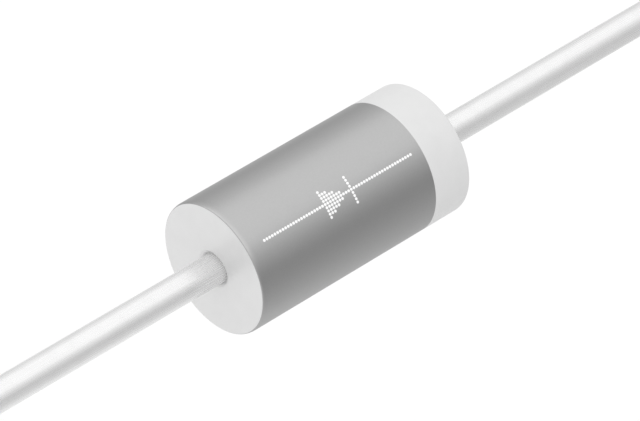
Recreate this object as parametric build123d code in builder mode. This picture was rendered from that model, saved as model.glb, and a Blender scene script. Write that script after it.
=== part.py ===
from build123d import *
import os

# Axial rectifier diode, in millimetres. The wires lie along X with the cathode end at +X, and the
# origin is the middle of the moulding. The two halves mirror each other, apart from the marking.

# Moulding and its marking
moulding_diameter = 3.45
moulding_length = 6.8
moulding_edge_chamfer = 0.01
coat_thickness = 0.025
coat_edge_radius = 0.05
band_width = 1.15

# Wires, with the free length that shows outside the moulding
wire_diameter = 0.78
wire_free_length = 25.4
wire_end_chamfer = 0.08

# Nail head on the inner end of each wire
head_diameter = 1.9
head_thickness = 0.34
head_edge_chamfer = 0.08

# Anchor that keeps each wire from pulling out or turning: the wire swells just inside the moulding,
# and round-nosed anvils press a waist into the swell from above and below
anchor_depth = 0.11
anchor_length = 1.2
anchor_ramp = 0.3
anchor_diameter = 1.14
waist_thickness = 0.5
anvil_nose_radius = 0.55

# Chip stack between the nail heads
die_side = 1.3
die_thickness = 0.26
solder_diameter = 1.14
solder_thickness = 0.06
solder_flare = 0.07
coating_bulge = 0.17

moulding_radius = moulding_diameter / 2
moulding_end = moulding_length / 2
band_start = moulding_end - band_width
coat_radius = moulding_radius + coat_thickness

wire_radius = wire_diameter / 2
wire_tip = moulding_end + wire_free_length

die_face = die_thickness / 2
head_face = die_face + solder_thickness
head_back = head_face + head_thickness
head_radius = head_diameter / 2
head_flat_radius = head_radius - head_edge_chamfer
solder_radius = solder_diameter / 2

anchor_outer = moulding_end - anchor_depth
anchor_inner = anchor_outer - anchor_length
anchor_middle = (anchor_outer + anchor_inner) / 2
anchor_radius = anchor_diameter / 2
anvil_height = waist_thickness / 2 + anvil_nose_radius

# Cathode wire, its nail head on the chip's +X side
with BuildPart() as cathode_lead:
    with BuildSketch(Plane.XY):
        with BuildLine():
            Polyline(
                (head_face, 0),
                (head_face, head_flat_radius),
                (head_face + head_edge_chamfer, head_radius),
                (head_back - head_edge_chamfer, head_radius),
                (head_back, head_flat_radius),
                (head_back, wire_radius),
                (anchor_inner, wire_radius),
                (anchor_inner + anchor_ramp, anchor_radius),
                (anchor_outer - anchor_ramp, anchor_radius),
                (anchor_outer, wire_radius),
                (wire_tip - wire_end_chamfer, wire_radius),
                (wire_tip, wire_radius - wire_end_chamfer),
                (wire_tip, 0),
                close=True,
            )
        make_face()
    revolve(axis=Axis.X)
    with BuildSketch(Plane.XZ):
        with Locations((anchor_middle, anvil_height), (anchor_middle, -anvil_height)):
            Circle(anvil_nose_radius)
    extrude(amount=anchor_radius, both=True, mode=Mode.SUBTRACT)
cathode_lead.part.label = "cathode_lead"

# Anode wire, the same wire on the chip's -X side
with BuildPart() as anode_lead:
    mirror(cathode_lead.part, about=Plane.YZ)
anode_lead.part.label = "anode_lead"

# Square rectifier chip
with BuildPart() as silicon_die:
    with BuildSketch(Plane.YZ.offset(-die_face)):
        Rectangle(die_side, die_side)
    extrude(amount=die_thickness)
silicon_die.part.label = "silicon_die"

# Solder joint, which wets more of the nail head than of the chip
with BuildPart() as cathode_solder:
    with BuildSketch(Plane.XY):
        with BuildLine():
            Polyline(
                (die_face, 0),
                (die_face, solder_radius),
                (head_face, solder_radius + solder_flare),
                (head_face, 0),
                close=True,
            )
        make_face()
    revolve(axis=Axis.X)
cathode_solder.part.label = "cathode_solder"

with BuildPart() as anode_solder:
    mirror(cathode_solder.part, about=Plane.YZ)
anode_solder.part.label = "anode_solder"

# Silicone bead that seals the chip's edges and bulges out between the nail heads
with BuildPart() as junction_coating:
    with BuildSketch(Plane.XY):
        with BuildLine():
            Polyline(
                (head_face, head_flat_radius),
                (head_face, 0),
                (-head_face, 0),
                (-head_face, head_flat_radius),
            )
            ThreePointArc(
                (-head_face, head_flat_radius),
                (0, head_flat_radius + coating_bulge),
                (head_face, head_flat_radius),
            )
        make_face()
    revolve(axis=Axis.X)
    for inner in (anode_lead, cathode_lead, silicon_die, anode_solder, cathode_solder):
        add(inner.part, mode=Mode.SUBTRACT)
junction_coating.part.label = "junction_coating"

# The moulding's outside, its rims broken so that the coating can thin out over them
with BuildPart() as moulding_outside:
    with BuildSketch(Plane.YZ.offset(-moulding_end)):
        Circle(moulding_radius)
    extrude(amount=moulding_length)
    chamfer(moulding_outside.edges().filter_by(GeomType.CIRCLE), moulding_edge_chamfer)

# Epoxy moulded round the finished stack, so its inside is the stack's own outline
with BuildPart() as moulded_body:
    add(moulding_outside.part)
    for inner in (anode_lead, cathode_lead, silicon_die, anode_solder, cathode_solder, junction_coating):
        add(inner.part, mode=Mode.SUBTRACT)
moulded_body.part.label = "moulded_body"

# Grey lacquer round the barrel, from over the anode rim to the band
with BuildPart() as barrel_coat:
    with BuildSketch(Plane.YZ.offset(-moulding_end)):
        Circle(coat_radius)
    extrude(amount=moulding_end + band_start)
    fillet(barrel_coat.edges().sort_by(Axis.X)[0], coat_edge_radius)
    add(moulding_outside.part, mode=Mode.SUBTRACT)
barrel_coat.part.label = "barrel_coat"

# Pale printed ring that marks the cathode end, from the lacquer to over the cathode rim
with BuildPart() as cathode_band:
    with BuildSketch(Plane.YZ.offset(band_start)):
        Circle(coat_radius)
    extrude(amount=band_width)
    fillet(cathode_band.edges().sort_by(Axis.X)[-1], coat_edge_radius)
    add(moulding_outside.part, mode=Mode.SUBTRACT)
cathode_band.part.label = "cathode_band"

os.makedirs("parts", exist_ok=True)
export_step(moulded_body.part, "parts/moulded_body.step")
export_step(barrel_coat.part, "parts/barrel_coat.step")
export_step(cathode_band.part, "parts/cathode_band.step")
export_step(anode_lead.part, "parts/anode_lead.step")
export_step(cathode_lead.part, "parts/cathode_lead.step")
export_step(silicon_die.part, "parts/silicon_die.step")
export_step(anode_solder.part, "parts/anode_solder.step")
export_step(cathode_solder.part, "parts/cathode_solder.step")
export_step(junction_coating.part, "parts/junction_coating.step")
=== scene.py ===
# %% [markdown]
# # An axial rectifier diode
# A rectifier diode is a small chip between two wires, potted in epoxy. Here we dress its CAD model:
# the solids give the outer sizes, and this script gives each piece a finer skin and a finish. A new
# piece then goes where its solid is, in metres, with the wires along X and the cathode end at +X.

# %% Load the frame
import math
import bmesh
import bpy
import numpy as np
from mathutils import Matrix, Vector


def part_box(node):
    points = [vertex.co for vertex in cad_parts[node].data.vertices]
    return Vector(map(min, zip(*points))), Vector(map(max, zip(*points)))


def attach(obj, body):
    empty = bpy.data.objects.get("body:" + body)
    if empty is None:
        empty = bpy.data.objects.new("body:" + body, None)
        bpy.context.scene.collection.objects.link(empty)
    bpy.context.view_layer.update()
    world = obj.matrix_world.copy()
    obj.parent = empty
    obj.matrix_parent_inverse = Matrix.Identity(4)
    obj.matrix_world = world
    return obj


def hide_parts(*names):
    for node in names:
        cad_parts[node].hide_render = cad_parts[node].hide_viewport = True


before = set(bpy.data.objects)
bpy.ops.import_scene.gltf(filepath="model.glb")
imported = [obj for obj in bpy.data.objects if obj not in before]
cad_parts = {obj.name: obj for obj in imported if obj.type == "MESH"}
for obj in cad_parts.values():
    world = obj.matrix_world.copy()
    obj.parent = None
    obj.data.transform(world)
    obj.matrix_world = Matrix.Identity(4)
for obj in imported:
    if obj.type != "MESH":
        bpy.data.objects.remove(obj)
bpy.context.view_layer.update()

print("CAD nodes:", ", ".join(sorted(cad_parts)))

# %% [markdown]
# ## Sizes
# The outer sizes come from the CAD nodes' own boxes. The few that no box shows, such as the
# anchor inside the moulding, are written here in millimetres, as in the CAD source.

# %% Sizes
MM = 0.001


def reach(node, axis, side):
    """How far a CAD node reaches along an axis (0 is X): side 0 is its low end, 1 its high end."""
    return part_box(node)[side][axis]


MOULDING_RADIUS = reach("moulded_body", 2, 1)
MOULDING_END = reach("moulded_body", 0, 1)
COAT_RADIUS = reach("barrel_coat", 2, 1)
BAND_START = reach("cathode_band", 0, 0)
WIRE_TIP = reach("cathode_lead", 0, 1)
HEAD_FACE = reach("cathode_lead", 0, 0)
HEAD_RADIUS = reach("cathode_lead", 2, 1)
DIE_FACE = reach("silicon_die", 0, 1)
DIE_HALF = reach("silicon_die", 2, 1)
JOINT_RADIUS = reach("cathode_solder", 2, 1)
BEAD_RADIUS = reach("junction_coating", 2, 1)

MOULDING_CHAMFER = 0.01 * MM
WIRE_RADIUS = 0.39 * MM
WIRE_TIP_CHAMFER = 0.08 * MM
HEAD_THICKNESS = 0.34 * MM
HEAD_CHAMFER = 0.08 * MM
JOINT_FLARE = 0.07 * MM
ANCHOR_DEPTH = 0.11 * MM
ANCHOR_LENGTH = 1.2 * MM
ANCHOR_RAMP = 0.3 * MM
ANCHOR_RADIUS = 0.57 * MM
WAIST_THICKNESS = 0.5 * MM
ANVIL_RADIUS = 0.55 * MM
HEAD_BACK = HEAD_FACE + HEAD_THICKNESS
HEAD_FLAT = HEAD_RADIUS - HEAD_CHAMFER
ANCHOR_OUTER = MOULDING_END - ANCHOR_DEPTH
ANCHOR_INNER = ANCHOR_OUTER - ANCHOR_LENGTH
print(f"moulding {2 * MOULDING_END / MM:.2f} x {2 * MOULDING_RADIUS / MM:.2f} mm")
print(f"tip to tip {2 * WIRE_TIP / MM:.1f} mm")

# %% [markdown]
# ## One way to make every round piece
# Nearly everything here was turned, drawn, cast or printed about one line. Blender's Spin would
# turn a profile, but then every ring is a circle, and the anchors aren't round. So a piece is a
# grid: its rows run along the piece and its columns round it, and each point has its own radius.

# %% Turned grids
SPOKES = 160
TURN = np.linspace(0, 2 * math.pi, SPOKES, endpoint=False)
SHARP_ANGLE = math.radians(35)


def new_piece(name, points, faces):
    """An object in the scene with a mesh of these points and faces."""
    mesh = bpy.data.meshes.new(name)
    mesh.from_pydata(points, [], faces)
    piece = bpy.data.objects.new(name, mesh)
    bpy.context.scene.collection.objects.link(piece)
    return piece


def turned(name, x, r, closed):
    """A mesh whose row i, column j is the point (x, r cos a, r sin a), with a the column's angle.

    Rows that run towards +X on the outside face outwards. A closed grid joins its last row to its
    first, like a tube with a wall. An open one starts and ends in a single point on the axis.
    """
    x, r = np.broadcast_arrays(np.asarray(x, float), np.asarray(r, float))
    points = np.stack((x, r * np.cos(TURN), r * np.sin(TURN)), axis=-1).reshape(-1, 3)
    rows = len(x)
    steps = np.arange(rows if closed else rows - 1)[:, None]
    here = steps * SPOKES
    above = (steps + 1) % rows * SPOKES
    column = np.arange(SPOKES)
    beside = (column + 1) % SPOKES
    corners = (here + column, here + beside, above + beside, above + column)
    faces = np.stack(corners, axis=-1).reshape(-1, 4).tolist()
    if not closed:
        first, last = len(points), len(points) + 1
        points = np.vstack((points, (x[0, 0], 0, 0), (x[-1, 0], 0, 0)))
        top = (rows - 1) * SPOKES
        faces += np.stack((np.full(SPOKES, first), beside, column), axis=-1).tolist()
        faces += np.stack((np.full(SPOKES, last), top + column, top + beside), axis=-1).tolist()
    piece = new_piece(name, points, faces)
    piece.data.shade_smooth()
    piece.data.set_sharp_from_angle(angle=SHARP_ANGLE)
    print(f"{name}: {len(points)} points, {len(faces)} faces")
    return piece


def column_of(values):
    """A list of numbers as a column, one to each row of a grid."""
    return np.asarray(values, float)[:, None]


def rounded_path(corners, radius, steps=6):
    """Points along a path of corners in the (x, r) plane, each inner corner cut by a round arc.

    With u and v the unit vectors from a corner to its neighbours and w the angle between them, the
    arc's middle is radius / sin(w / 2) from the corner, along u + v. The arc turns by pi - w. Its
    spoke at share t is (sin((1 - t)(pi - w)) p + sin(t (pi - w)) q) / sin(pi - w), where p and q
    are its first and last spoke.
    """
    corners = np.asarray(corners, float)
    corner = corners[1:-1]
    u = corners[:-2] - corner
    v = corners[2:] - corner
    u /= np.linalg.norm(u, axis=1, keepdims=True)
    v /= np.linalg.norm(v, axis=1, keepdims=True)
    w = np.arccos(np.sum(u * v, axis=1, keepdims=True))
    bisector = (u + v) / np.linalg.norm(u + v, axis=1, keepdims=True)
    middle = corner + radius / np.sin(w / 2) * bisector
    p = (corner + radius / np.tan(w / 2) * u - middle)[:, None]
    q = (corner + radius / np.tan(w / 2) * v - middle)[:, None]
    turn = (math.pi - w)[:, None]
    t = np.linspace(0, 1, steps)[None, :, None]
    arcs = middle[:, None] + (np.sin((1 - t) * turn) * p + np.sin(t * turn) * q) / np.sin(turn)
    return np.vstack((corners[:1], arcs.reshape(-1, 2), corners[-1:]))


# %% [markdown]
# ## Wires
# Each wire is tinned copper. Its inner end is struck into a nail head that carries the chip. Just
# inside the moulding it swells, and two round-nosed anvils have pressed a waist into the swell, so
# that the epoxy grips it against pulling and turning. The waist only trims the round section: a
# point's height above the axis can't be more than the anvil's face leaves.

# %% Wire profile
ANCHOR_ROWS = 61
FREE_ROWS = 40
NO_LIMIT = 1.0
SMALLEST_SINE = 1e-6


def anchor_radius(x, r):
    """The radius at each angle of the anchor's rows: a height h allows h / |sin a| there.

    An anvil's round nose reaches sqrt(R ^ 2 - d ^ 2) from its middle at the distance d along the
    wire. Where it doesn't reach at all, the height has no limit.
    """
    middle = (ANCHOR_OUTER + ANCHOR_INNER) / 2
    nose = np.sqrt(np.clip(ANVIL_RADIUS**2 - (x - middle) ** 2, 0, None))
    height = np.where(nose > 0, WAIST_THICKNESS / 2 + ANVIL_RADIUS - nose, NO_LIMIT)
    return np.minimum(r, height / np.maximum(np.abs(np.sin(TURN)), SMALLEST_SINE))


def shank():
    """Rows of a wire's anchor: x along it, and the radius at each angle."""
    x = np.unique(np.r_[
        np.linspace(ANCHOR_INNER, ANCHOR_OUTER, ANCHOR_ROWS),
        ANCHOR_INNER + ANCHOR_RAMP,
        ANCHOR_OUTER - ANCHOR_RAMP,
    ])
    swell = np.clip(np.minimum(x - ANCHOR_INNER, ANCHOR_OUTER - x) / ANCHOR_RAMP, 0, 1)
    r = WIRE_RADIUS + (ANCHOR_RADIUS - WIRE_RADIUS) * swell
    return column_of(x), anchor_radius(column_of(x), column_of(r))


def head_path():
    """Corners of the nail head's outline in the (x, r) plane, from its flat face to the wire."""
    return [
        (HEAD_FACE, HEAD_FLAT),
        (HEAD_FACE + HEAD_CHAMFER, HEAD_RADIUS),
        (HEAD_BACK - HEAD_CHAMFER, HEAD_RADIUS),
        (HEAD_BACK, HEAD_FLAT),
        (HEAD_BACK, WIRE_RADIUS),
    ]


def rows_of(path):
    """A path of (x, r) points as two grids with every column alike."""
    path = np.asarray(path, float)
    ones = np.ones((1, SPOKES))
    return column_of(path[:, 0]) * ones, column_of(path[:, 1]) * ones


def wire_rows(sign):
    """All rows of a wire towards +X (sign 1) or towards -X (sign -1), from low x to high x."""
    head = rows_of(head_path())
    anchor = tuple(np.broadcast_arrays(*shank()))
    free_x = np.linspace(MOULDING_END, WIRE_TIP - WIRE_TIP_CHAMFER, FREE_ROWS)
    free = [(x, WIRE_RADIUS) for x in free_x]
    tip = rounded_path([
        (WIRE_TIP - 2 * WIRE_TIP_CHAMFER, WIRE_RADIUS),
        (WIRE_TIP - WIRE_TIP_CHAMFER, WIRE_RADIUS),
        (WIRE_TIP, WIRE_RADIUS - WIRE_TIP_CHAMFER),
        (WIRE_TIP, WIRE_RADIUS / 4),
    ], WIRE_TIP_CHAMFER / 3)[1:]
    outside = rows_of(np.vstack((free[:-1], tip)))
    x, r = (np.vstack(parts) for parts in zip(head, anchor, outside))
    return (x, r) if sign > 0 else (-x[::-1], r[::-1])


cathode_wire = turned("cathode_wire", *wire_rows(1), closed=False)
anode_wire = turned("anode_wire", *wire_rows(-1), closed=False)

# %% [markdown]
# ## Chip stack
# A square chip is soldered between the two nail heads. Molten solder wets more of a head than of
# the chip, so each joint is a shallow cone. A silicone bead then seals the chip's edges, and
# bulges out a little between the heads. None of this shows outside, but the part may be cut open.

# %% Chip, joints and bead
def square_radius(half):
    """The radius at each angle of a square of that half side: half / max(|cos a|, |sin a|)."""
    return half / np.maximum(np.abs(np.cos(TURN)), np.abs(np.sin(TURN)))


def stacked(*rows):
    """Rows given as pairs of x and a radius or radii, as two grids."""
    x = np.array([np.broadcast_to(row[0], SPOKES) for row in rows])
    r = np.array([np.broadcast_to(row[1], SPOKES) for row in rows])
    return x, r


SAWN_EDGE = 0.012 * MM
chip_edge = square_radius(DIE_HALF)
chip_flat = square_radius(DIE_HALF - SAWN_EDGE)
silicon_chip = turned("silicon_chip", *stacked(
    (-DIE_FACE, chip_flat / 2),
    (-DIE_FACE, chip_flat),
    (-DIE_FACE + SAWN_EDGE, chip_edge),
    (DIE_FACE - SAWN_EDGE, chip_edge),
    (DIE_FACE, chip_flat),
    (DIE_FACE, chip_flat / 2),
), closed=False)

CHIP_SIDE_RADIUS = JOINT_RADIUS - JOINT_FLARE
joint_rows = [
    (DIE_FACE, CHIP_SIDE_RADIUS / 2),
    (DIE_FACE, CHIP_SIDE_RADIUS),
    (HEAD_FACE, JOINT_RADIUS),
    (HEAD_FACE, JOINT_RADIUS / 2),
]
cathode_joint = turned("cathode_joint", *stacked(*joint_rows), closed=False)
mirrored_rows = [(-x, r) for x, r in reversed(joint_rows)]
anode_joint = turned("anode_joint", *stacked(*mirrored_rows), closed=False)

BEAD_STEPS = 25
lean = np.linspace(0, math.pi, BEAD_STEPS)[1:-1]
bulge = BEAD_RADIUS - HEAD_FLAT
bead_rows = [(-HEAD_FACE * math.cos(a), HEAD_FLAT + bulge * math.sin(a)) for a in lean]
silicone_bead = turned("silicone_bead", *stacked(
    (-HEAD_FACE, HEAD_FLAT),
    *bead_rows,
    (HEAD_FACE, HEAD_FLAT),
    (HEAD_FACE, JOINT_RADIUS),
    (DIE_FACE, CHIP_SIDE_RADIUS),
    (DIE_FACE, chip_flat),
    (DIE_FACE - SAWN_EDGE, chip_edge),
    (-DIE_FACE + SAWN_EDGE, chip_edge),
    (-DIE_FACE, chip_flat),
    (-DIE_FACE, CHIP_SIDE_RADIUS),
    (-HEAD_FACE, JOINT_RADIUS),
), closed=True)

# %% [markdown]
# ## Moulding
# The epoxy is moulded round the finished stack in one shot, so its inside is the stack's own
# outline. The grid is one closed loop: out over the anode end, along the barrel, in over the
# cathode end, and back along the wires, the heads and the bead. The resin has shrunk a little from
# each wire and left a shallow hollow round its root. At the share s of its width the hollow is
# (1 - s) ^ 2 of its full depth, so it runs out into the flat face without an edge.

# %% Moulding
HOLLOW_WIDTH = 0.14 * MM
HOLLOW_DEPTH = 0.08 * MM
HOLLOW_STEPS = 12
HOLLOW_MARGIN = 1.3
END_FACE_RADIUS = MOULDING_RADIUS - MOULDING_CHAMFER
RIM_START = MOULDING_END - MOULDING_CHAMFER
flat_start = WIRE_RADIUS + HOLLOW_MARGIN * HOLLOW_WIDTH
outer = [
    (-MOULDING_END, flat_start),
    (-MOULDING_END, END_FACE_RADIUS),
    (-RIM_START, MOULDING_RADIUS),
    (RIM_START, MOULDING_RADIUS),
    (MOULDING_END, END_FACE_RADIUS),
    (MOULDING_END, flat_start),
]
head = rows_of(head_path())
anchor = tuple(np.broadcast_arrays(*shank()))
share = np.linspace(0, 1, HOLLOW_STEPS)
mouth = rows_of(np.stack((
    MOULDING_END - HOLLOW_DEPTH * (1 - share) ** 2,
    WIRE_RADIUS + HOLLOW_WIDTH * share,
), axis=-1))
half_x, half_r = (np.vstack(parts) for parts in zip(head, anchor, mouth))
bead_x, bead_r = rows_of(bead_rows)
outer_x, outer_r = rows_of(outer)
moulding_x = np.vstack((outer_x, half_x[::-1], -bead_x, -half_x))
moulding_r = np.vstack((outer_r, half_r[::-1], bead_r, half_r))
epoxy_moulding = turned("epoxy_moulding", moulding_x, moulding_r, closed=True)

# %% [markdown]
# ## Lacquer and band
# The barrel is coated grey, and a pale ring marks the cathode. Both are skins a fortieth of a
# millimetre thick that meet flush. Each thins out to nothing towards its rim, so the end face stays
# bare. The lacquer does so slowly, and its long soft round shades from the face's tone to its own.

# %% Coat and band
RIM_STEPS = 25
COAT_RIM = 0.15 * MM
BAND_RIM = 0.06 * MM


def film(name, side, rim_length, seam_x):
    """A skin on the moulding from over one rim to the seam, where lacquer and band meet.

    The rim is a quarter of an ellipse. At its angle a it lies rim_length (1 - cos a) in from the
    end, at the radius F + (R - F) sin a, with F the end face's radius and R the skin's. From there
    the path runs along the barrel to the seam, and back under the skin.
    """
    a = np.linspace(0, math.pi / 2, RIM_STEPS)
    along = side * (MOULDING_END - rim_length * (1 - np.cos(a)))
    radius = END_FACE_RADIUS + (COAT_RADIUS - END_FACE_RADIUS) * np.sin(a)
    path = np.vstack((np.stack((along, radius), axis=-1), [
        (seam_x, COAT_RADIUS),
        (seam_x, MOULDING_RADIUS),
        (side * RIM_START, MOULDING_RADIUS),
    ]))
    return turned(name, *rows_of(path if side < 0 else path[::-1]), closed=True)


grey_coat = film("grey_coat", -1, COAT_RIM, BAND_START)
cathode_ring = film("cathode_ring", 1, BAND_RIM, BAND_START)

# %% [markdown]
# ## Polarity sign
# A jet printer marks small parts in dots. The sign here is the plain symbol of a diode: a line, a
# filled arrow that points to the cathode, its bar, and a line again. Each dot of ink has spread
# into a low dome. All the domes are one grid: the same rings, set down at every dot's place.

# %% Dots of the sign
DOT_PITCH = 0.085 * MM
DOT_RADIUS = 0.038 * MM
DOT_HEIGHT = 0.006 * MM
DOT_SPOKES = 16
RING_DISTANCES = (0.0, 0.55, 0.88, 1.0, 0.9, 0.0)
RING_HEIGHTS = (1.0, 0.88, 0.5, 0.0, -0.5, -0.5)
SAME_POINT = 1e-8
SIGN_COLUMNS = 57
SIGN_HALF_ROWS = 4
ARROW_START = 23
BAR_COLUMN = 33
SIGN_START = -2.85 * MM
SIGN_ANGLE = math.radians(133)

sign_rows = np.arange(-SIGN_HALF_ROWS, SIGN_HALF_ROWS + 1)
column_grid, row_grid = np.meshgrid(np.arange(SIGN_COLUMNS), sign_rows)
arrow_width = SIGN_HALF_ROWS - (column_grid - ARROW_START) / 2
before_bar = (column_grid >= ARROW_START) & (column_grid < BAR_COLUMN)
in_arrow = before_bar & (np.abs(row_grid) <= arrow_width)
printed = in_arrow | (column_grid == BAR_COLUMN) | (row_grid == 0)
dot_x = SIGN_START + column_grid[printed] * DOT_PITCH
dot_angle = SIGN_ANGLE + row_grid[printed] * DOT_PITCH / COAT_RADIUS


def dots(name, along, around):
    """Low domes on the barrel, one at each (along, around) place.

    A point at distance d and bearing b from a dot's middle is at x + d cos b along the barrel, and
    at the angle of the middle plus d sin b / R round it, where R is the barrel's radius. The last
    rings of a dome lie under the lacquer's surface and close it there.
    """
    bearing = np.linspace(0, 2 * math.pi, DOT_SPOKES, endpoint=False)
    ring_distance = np.array(RING_DISTANCES) * DOT_RADIUS
    ring_height = np.array(RING_HEIGHTS) * DOT_HEIGHT
    rings = len(ring_distance)
    shape = (len(along), rings, DOT_SPOKES)
    x = along[:, None, None] + ring_distance[:, None] * np.cos(bearing)
    angle = around[:, None, None] + ring_distance[:, None] * np.sin(bearing) / COAT_RADIUS
    r = np.broadcast_to(COAT_RADIUS + ring_height[:, None], shape)
    points = np.stack((x, r * np.cos(angle), r * np.sin(angle)), axis=-1).reshape(-1, 3)
    dot, ring, spoke = np.indices((len(along), rings - 1, DOT_SPOKES))
    here = (dot * rings + ring) * DOT_SPOKES
    above = here + DOT_SPOKES
    beside = (spoke + 1) % DOT_SPOKES
    corners = (here + spoke, above + spoke, above + beside, here + beside)
    return new_piece(name, points, np.stack(corners, axis=-1).reshape(-1, 4).tolist())


sign_dots = dots("sign_dots", dot_x, dot_angle)
print(f"sign: {len(dot_x)} dots over {(SIGN_COLUMNS - 1) * DOT_PITCH / MM:.2f} mm")

# %% [markdown]
# The rings' middle points fall together at the poles of each dome, so the double points are merged
# and the normals worked out again.

# %% Close the domes
merged = bmesh.new()
merged.from_mesh(sign_dots.data)
bmesh.ops.remove_doubles(merged, verts=merged.verts, dist=SAME_POINT)
bmesh.ops.recalc_face_normals(merged, faces=merged.faces)
merged.to_mesh(sign_dots.data)
merged.free()
sign_dots.data.shade_smooth()
print("sign faces:", len(sign_dots.data.polygons))

# %% [markdown]
# ## A small kit for finishes
# Every finish starts from the same shader, reads the piece's own coordinates, and adds fine
# variation with noise. These helpers only make and join nodes, so that a finish below reads as a
# list of what the surface does.

# %% Node helpers
NOISE_LOW = 0.3
NOISE_HIGH = 0.7


class Finish:
    """A material with its shader, and noise that is fixed to the piece."""

    def __init__(self, name, colour, roughness, metallic=0.0):
        self.material = bpy.data.materials.new(name)
        self.material.use_nodes = True
        self.tree = self.material.node_tree
        self.shader = self.tree.nodes["Principled BSDF"]
        self.shader.inputs["Base Color"].default_value = (*colour, 1)
        self.shader.inputs["Roughness"].default_value = roughness
        self.shader.inputs["Metallic"].default_value = metallic
        self.place = self.tree.nodes.new("ShaderNodeTexCoord").outputs["Object"]

    def stretched(self, scale):
        """The piece's coordinates, multiplied along each axis."""
        mapping = self.tree.nodes.new("ShaderNodeMapping")
        mapping.inputs["Scale"].default_value = scale
        self.tree.links.new(self.place, mapping.inputs["Vector"])
        return mapping.outputs["Vector"]

    def noise(self, per_metre, detail=2.0, vector=None):
        """Soft random values round one half, with features about 1 / per_metre long."""
        texture = self.tree.nodes.new("ShaderNodeTexNoise")
        texture.inputs["Scale"].default_value = per_metre
        texture.inputs["Detail"].default_value = detail
        self.tree.links.new(vector or self.place, texture.inputs["Vector"])
        return texture.outputs["Fac"]

    def spread(self, value, low, high):
        """A noise value turned into a range of numbers or colours. It seldom leaves 0.3 to 0.7."""
        node = self.tree.nodes.new("ShaderNodeValToRGB")
        first, last = node.color_ramp.elements
        first.position, last.position = NOISE_LOW, NOISE_HIGH
        first.color = (*np.broadcast_to(low, 3), 1)
        last.color = (*np.broadcast_to(high, 3), 1)
        self.tree.links.new(value, node.inputs["Fac"])
        return node.outputs["Color"]

    def vary(self, socket, value, low, high):
        """Drives one of the shader's sockets between low and high."""
        self.tree.links.new(self.spread(value, low, high), self.shader.inputs[socket])

    def bump(self, value, height):
        """Raises and lowers the surface by a height in metres."""
        node = self.tree.nodes.new("ShaderNodeBump")
        node.inputs["Distance"].default_value = height
        self.tree.links.new(value, node.inputs["Height"])
        self.tree.links.new(node.outputs["Normal"], self.shader.inputs["Normal"])


def wear(piece, finish, slot, *nodes):
    """Gives a piece its finish and its body, and hides the nodes it stands for. The slot is not
    used.
    """
    piece.data.materials.clear()
    piece.data.materials.append(finish.material)
    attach(piece, "root")
    if nodes:
        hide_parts(*nodes)
    print(f"{piece.name} wears {finish.material.name}")


# %% [markdown]
# ## Epoxy
# Pale filled epoxy with the satin sheen that a fine-blasted mould gives. The filler shows as a
# faint cloudiness. In the picture the end face mirrors the wire strongly, and the image blurs away
# from the root. Plain epoxy can't do that, so the shader is half metallic as a stand-in.

# %% Epoxy finish
epoxy = Finish("pale_epoxy", (0.73, 0.73, 0.73), 0.36, metallic=0.5)
epoxy.vary("Base Color", epoxy.noise(1800, 3), 0.72, 0.74)
epoxy.vary("Roughness", epoxy.noise(5200, 2), 0.34, 0.38)
epoxy.bump(epoxy.noise(9000, 2), 0.0000004)
wear(epoxy_moulding, epoxy, "moulding", "moulded_body")

# %% [markdown]
# ## Grey lacquer
# The barrel shows light and dark bands, as satin metal does. So the lacquer is taken to hold a
# metal pigment, whose flakes lie flat in the film and glint a little unevenly. That is a guess.

# %% Lacquer finish
lacquer = Finish("grey_lacquer", (0.44, 0.44, 0.44), 0.33, metallic=1.0)
lacquer.shader.inputs["Specular Tint"].default_value = (0.8, 0.8, 0.8, 1)
lacquer.vary("Base Color", lacquer.noise(26000, 2), 0.432, 0.45)
lacquer.vary("Roughness", lacquer.noise(3000, 3), 0.31, 0.35)
lacquer.bump(lacquer.noise(16000, 2), 0.0000003)
wear(grey_coat, lacquer, "grey_lacquer", "barrel_coat")

# %% [markdown]
# ## Band ink
# The ring is a thick pale ink, nearly matt beside the lacquer.

# %% Band finish
ink = Finish("pale_band_ink", (0.69, 0.69, 0.69), 0.4)
ink.vary("Base Color", ink.noise(2400, 3), 0.68, 0.7)
ink.vary("Roughness", ink.noise(7000, 2), 0.36, 0.44)
ink.bump(ink.noise(14000, 2), 0.0000004)
wear(cathode_ring, ink, "band_ink", "cathode_band")

# %% [markdown]
# ## Sign ink
# The dots are opaque white ink.

# %% Sign finish
sign_ink = Finish("white_sign_ink", (0.93, 0.93, 0.93), 0.5)
sign_ink.vary("Base Color", sign_ink.noise(30000, 2), 0.91, 0.95)
wear(sign_dots, sign_ink, "band_ink")

# %% [markdown]
# ## Tinned wire
# The wire was drawn through a die and then plated with matt tin. Drawing leaves hair-fine lines
# along it. The noise is stretched along X: fine across the wire, long along it.

# %% Tin finish
tin = Finish("tinned_wire", (0.785, 0.785, 0.785), 0.26, metallic=0.62)
drawn = tin.noise(1.0, 3, tin.stretched((500, 26000, 26000)))
tin.vary("Base Color", tin.noise(2500, 3), 0.77, 0.8)
tin.vary("Roughness", drawn, 0.24, 0.3)
tin.bump(drawn, 0.0000001)
wear(cathode_wire, tin, "tinned_wire", "cathode_lead")
wear(anode_wire, tin, "tinned_wire", "anode_lead")

# %% [markdown]
# ## Silicon, solder and silicone
# The chip is dark and sawn, with fine lines across its edges. The joints are dull solder, and the
# bead is milky rubber that lets some light through.

# %% Finishes inside
silicon = Finish("sawn_silicon", (0.16, 0.17, 0.19), 0.3, metallic=0.6)
sawn = silicon.noise(1.0, 2, silicon.stretched((90000, 3000, 3000)))
silicon.vary("Base Color", silicon.noise(6000, 3), (0.14, 0.15, 0.17), (0.18, 0.19, 0.21))
silicon.bump(sawn, 0.000001)
wear(silicon_chip, silicon, "silicon", "silicon_die")

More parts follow.
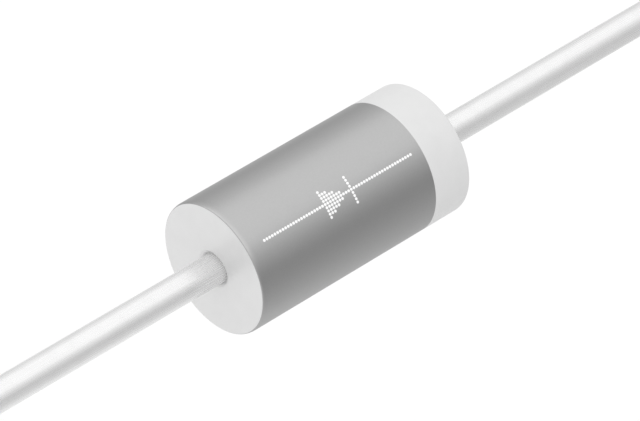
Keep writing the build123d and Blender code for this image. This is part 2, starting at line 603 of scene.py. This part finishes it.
solder = Finish("dull_solder", (0.62, 0.62, 0.63), 0.45, metallic=1.0)
solder.vary("Roughness", solder.noise(20000, 3), 0.38, 0.52)
solder.bump(solder.noise(15000, 3), 0.000002)
wear(cathode_joint, solder, "solder", "cathode_solder")
wear(anode_joint, solder, "solder", "anode_solder")

silicone = Finish("milky_silicone", (0.82, 0.81, 0.78), 0.35)
silicone.shader.inputs["Subsurface Weight"].default_value = 0.3
silicone.shader.inputs["Subsurface Scale"].default_value = 0.2 * MM
silicone.vary("Roughness", silicone.noise(6000, 2), 0.3, 0.42)
silicone.bump(silicone.noise(5000, 2), 0.000002)
wear(silicone_bead, silicone, "silicone", "junction_coating")

# %% [markdown]
# ## Camera
# The picture was taken from the anode end, 39 degrees above, from about 110 mm away. The view
# direction comes from two angles, and the camera is moved by two and three pixels in its own plane
# to put the moulding where the picture has it. All of these were found by fitting the part's
# outline to the picture, with the barrel's radius as the unit of length.

# %% Camera
AZIMUTH = math.radians(-43.22)
ELEVATION = math.radians(38.73)
UNIT = 1.75 * MM
PIXELS_PER_UNIT = 72.94
DISTANCE = 62.85 * UNIT
SIDEWAYS = 1.68 / PIXELS_PER_UNIT * UNIT
UPWARDS = -2.855 / PIXELS_PER_UNIT * UNIT
SENSOR_WIDTH = 36
FOCAL_LENGTH = 257.3

back = Vector((
    math.sin(AZIMUTH) * math.cos(ELEVATION),
    -math.cos(AZIMUTH) * math.cos(ELEVATION),
    math.sin(ELEVATION),
))
right = Vector((0, 0, 1)).cross(back).normalized()
up = back.cross(right)
viewpoint = back * DISTANCE + right * SIDEWAYS + up * UPWARDS
camera = bpy.data.objects.new("camera", bpy.data.cameras.new("camera"))
camera.matrix_world = Matrix.Translation(viewpoint) @ Matrix((
    (right.x, up.x, back.x, 0),
    (right.y, up.y, back.y, 0),
    (right.z, up.z, back.z, 0),
    (0, 0, 0, 1),
))
camera.data.sensor_fit = "HORIZONTAL"
camera.data.sensor_width = SENSOR_WIDTH
camera.data.lens = FOCAL_LENGTH
camera.data.clip_start = 0.005
camera.data.clip_end = 10
bpy.context.scene.collection.objects.link(camera)
bpy.context.scene.camera = camera
print("camera at", tuple(round(c / MM, 1) for c in camera.location), "mm")

# %% [markdown]
# ## Floor, tent and light
# The picture has a plain white ground and no visible shadow. The floor lies well below the diode,
# so that its soft shadow falls outside the frame. It is matt and pale. A camera, a mirror or a
# glass sees it glow a little as well, which makes it white to them.

# %% Floor
FLOOR_HEIGHT = -18 * MM
FLOOR_HALF = 3
FLOOR_GREY = 0.8
FLOOR_GLOW = 0.13


def new_material(name):
    """A material with its nodes and links."""
    material = bpy.data.materials.new(name)
    material.use_nodes = True
    return material, material.node_tree.nodes, material.node_tree.links


def flat_material(name, grey, strength):
    """A matt material. Camera, mirrors and glass see it glow with that strength as well."""
    material, nodes, links = new_material(name)
    shader = nodes["Principled BSDF"]
    shader.inputs["Base Color"].default_value = (grey, grey, grey, 1)
    shader.inputs["Roughness"].default_value = 1
    shader.inputs["Specular IOR Level"].default_value = 0
    shader.inputs["Emission Color"].default_value = (1, 1, 1, 1)
    path = nodes.new("ShaderNodeLightPath")
    seen = path.outputs["Is Camera Ray"]
    for ray in ("Is Glossy Ray", "Is Transmission Ray"):
        either = nodes.new("ShaderNodeMath")
        either.operation = "MAXIMUM"
        links.new(seen, either.inputs[0])
        links.new(path.outputs[ray], either.inputs[1])
        seen = either.outputs["Value"]
    glow = nodes.new("ShaderNodeMath")
    glow.operation = "MULTIPLY"
    glow.inputs[1].default_value = strength
    links.new(seen, glow.inputs[0])
    links.new(glow.outputs["Value"], shader.inputs["Emission Strength"])
    return material


def sheet_of(name, points, faces, material):
    """A plain sheet of the studio, which isn't part of the diode."""
    piece = new_piece(name, points, faces)
    piece.data.materials.append(material)
    return piece


signs = ((-1, -1), (1, -1), (1, 1), (-1, 1))
floor_corners = [(x * FLOOR_HALF, y * FLOOR_HALF, FLOOR_HEIGHT) for x, y in signs]
floor_material = flat_material("white_floor", FLOOR_GREY, FLOOR_GLOW)
sheet_of("floor", floor_corners, [(0, 1, 2, 3)], floor_material)
print("floor", -FLOOR_HEIGHT / MM, "mm below the axis")

# %% [markdown]
# A satin barrel shows its form by what it reflects, and it looks flat where everything round it is
# white. So the diode stands in a light tent, on a cloth, under a card. All three are seen in
# reflections only. Nothing is known of the studio in the picture: these greys were found by
# matching the tones of the barrel and its rim, so they are stand-ins. The greys are kept in the
# mesh, one to each point, and the material reads them from there.

# %% Shaded sheets
def shaded_sheet(name, points, grey):
    """A sheet on a grid of points that glows with the grey of each point, for reflections only."""
    rows, columns = grey.shape
    place = np.arange(rows * columns).reshape(rows, columns)
    corners = (place[:-1, :-1], place[:-1, 1:], place[1:, 1:], place[1:, :-1])
    faces = np.stack(corners, axis=-1).reshape(-1, 4)
    material, nodes, links = new_material(name)
    nodes.remove(nodes["Principled BSDF"])
    reader = nodes.new("ShaderNodeAttribute")
    reader.attribute_name = "grey"
    glow = nodes.new("ShaderNodeEmission")
    links.new(reader.outputs["Fac"], glow.inputs["Strength"])
    links.new(glow.outputs[0], nodes["Material Output"].inputs["Surface"])
    piece = sheet_of(name, points.reshape(-1, 3), faces.tolist(), material)
    piece.data.attributes.new("grey", "FLOAT", "POINT").data.foreach_set("value", grey.ravel())
    piece.visible_camera = piece.visible_diffuse = piece.visible_shadow = False
    print(f"{name}: grey {grey.min():.2f} to {grey.max():.2f}")


def ramp(value, start, end):
    """0 where value is at start or short of it, 1 at end or beyond, and even in between."""
    return np.clip((value - start) / (end - start), 0, 1)


# %% [markdown]
# The tent is part of a sphere round the diode, grey at the foot and white at the top. At height
# angle e and bearing b its grey is 1 - d (1 - (e / top) ^ 1.3), where the depth d is 0.55 in front
# (b = -90 degrees) and 0.3 behind. Towards the anode end, as -cos b goes from 0.1 to 0.6, d falls
# to four tenths of that, so that the bare end face stays pale.

# %% Tent
TENT_RADIUS = 120 * MM
TENT_TOP = math.radians(39)
TENT_ROWS = 40
TENT_COLUMNS = 73
MEAN_DEPTH = 0.425
DEPTH_SWING = 0.125
ANODE_PALING = 0.6
PALE_FROM = 0.1
PALE_TO = 0.6
TENT_POWER = 1.3

tent_low = math.asin(FLOOR_HEIGHT / TENT_RADIUS)
height_angle, bearing = np.meshgrid(
    np.linspace(tent_low, TENT_TOP, TENT_ROWS),
    np.linspace(-math.pi, math.pi, TENT_COLUMNS),
    indexing="ij",
)
depth = MEAN_DEPTH - DEPTH_SWING * np.sin(bearing)
depth *= 1 - ANODE_PALING * ramp(-np.cos(bearing), PALE_FROM, PALE_TO)
rise = np.clip(height_angle / TENT_TOP, 0, 1)
shaded_sheet("tent", TENT_RADIUS * np.stack((
    np.cos(height_angle) * np.cos(bearing),
    np.cos(height_angle) * np.sin(bearing),
    np.sin(height_angle),
), axis=-1), 1 - depth * (1 - rise**TENT_POWER))

# %% [markdown]
# The cloth covers the floor round the diode, 0.1 mm above it. Seen from the diode at the angle e
# below the horizon, its grey in front is 0.47 + 0.36 (e / 57 degrees) ^ 1.5 and at most 1, and it
# fades to 0.95 under the anode wire. Behind it is white, where the end face looks, and 0.85 under
# the cathode wire. The front runs into the back within 3 mm on each side of the axis.

# %% Cloth
CLOTH_STEPS = 121
CLOTH_LIFT = 0.1 * MM
FAR_GREY = 0.47
NEAR_GAIN = 0.36
NEAR_ANGLE = math.radians(57)
CLOTH_POWER = 1.5
ANODE_GREY = 0.95
BACK_SHADE = 0.15

across = np.linspace(-TENT_RADIUS, TENT_RADIUS, CLOTH_STEPS)
cloth_x, cloth_y = np.meshgrid(across, across)
below = np.arctan2(-FLOOR_HEIGHT, np.hypot(cloth_x, cloth_y))
front_grey = FAR_GREY + NEAR_GAIN * (below / NEAR_ANGLE) ** CLOTH_POWER
front_grey += (ANODE_GREY - front_grey) * ramp(-cloth_x, 4 * MM, 16 * MM)
back_grey = 1 - BACK_SHADE * ramp(cloth_x, 0, 20 * MM)
in_front = ramp(-cloth_y, -3 * MM, 3 * MM)
cloth_grey = np.minimum(in_front * front_grey + (1 - in_front) * back_grey, 1)
cloth_z = np.full_like(cloth_x, FLOOR_HEIGHT + CLOTH_LIFT)
shaded_sheet("cloth", np.stack((cloth_x, cloth_y, cloth_z), axis=-1), cloth_grey)

# %% [markdown]
# The card hangs overhead. Its grey is 1.22 past the cathode end, and rises to 1.52 some 20 mm on
# the anode side of the diode, where only the coat's rim leans far enough to catch it. Beyond that
# it falls to 0.77, which darkens the wire's image in the end face and draws a fine line round the
# rim.

# %% Card
CARD_HEIGHT = 140 * MM
CARD_X = np.linspace(-300 * MM, 60 * MM, 73)
CARD_Y = np.linspace(170 * MM, -170 * MM, 3)
CARD_GREY = 1.22
CARD_GAIN = 0.3
CARD_LOSS = 0.75

card_x, card_y = np.meshgrid(CARD_X, CARD_Y)
card_grey = CARD_GREY + CARD_GAIN * ramp(-card_x, -60 * MM, 20 * MM)
card_grey -= CARD_LOSS * ramp(-card_x, 45 * MM, 85 * MM)
card_z = np.full_like(card_x, CARD_HEIGHT)
shaded_sheet("card", np.stack((card_x, card_y, card_z), axis=-1), card_grey)

# %% [markdown]
# One large soft lamp overhead lights the matt side of things, and an even white world fills in
# the rest. Together they render a pale matt surface about as its colour is written.

# %% Light
LAMP_LENGTH = 500 * MM
LAMP_WIDTH = 260 * MM
LAMP_HEIGHT = 150 * MM
LAMP_WATTS = 0.09

lamp = bpy.data.objects.new("softbox", bpy.data.lights.new("softbox", "AREA"))
lamp.data.shape = "RECTANGLE"
lamp.data.size = LAMP_LENGTH
lamp.data.size_y = LAMP_WIDTH
lamp.data.energy = LAMP_WATTS
lamp.location = (0, 0, LAMP_HEIGHT)
bpy.context.scene.collection.objects.link(lamp)

world = bpy.data.worlds.new("white_room")
world.use_nodes = True
world.node_tree.nodes["Background"].inputs["Color"].default_value = (1, 1, 1, 1)
world.node_tree.nodes["Background"].inputs["Strength"].default_value = 1
bpy.context.scene.world = world
bpy.context.scene.view_settings.view_transform = "Standard"
print("lamp", lamp.data.energy, "W")
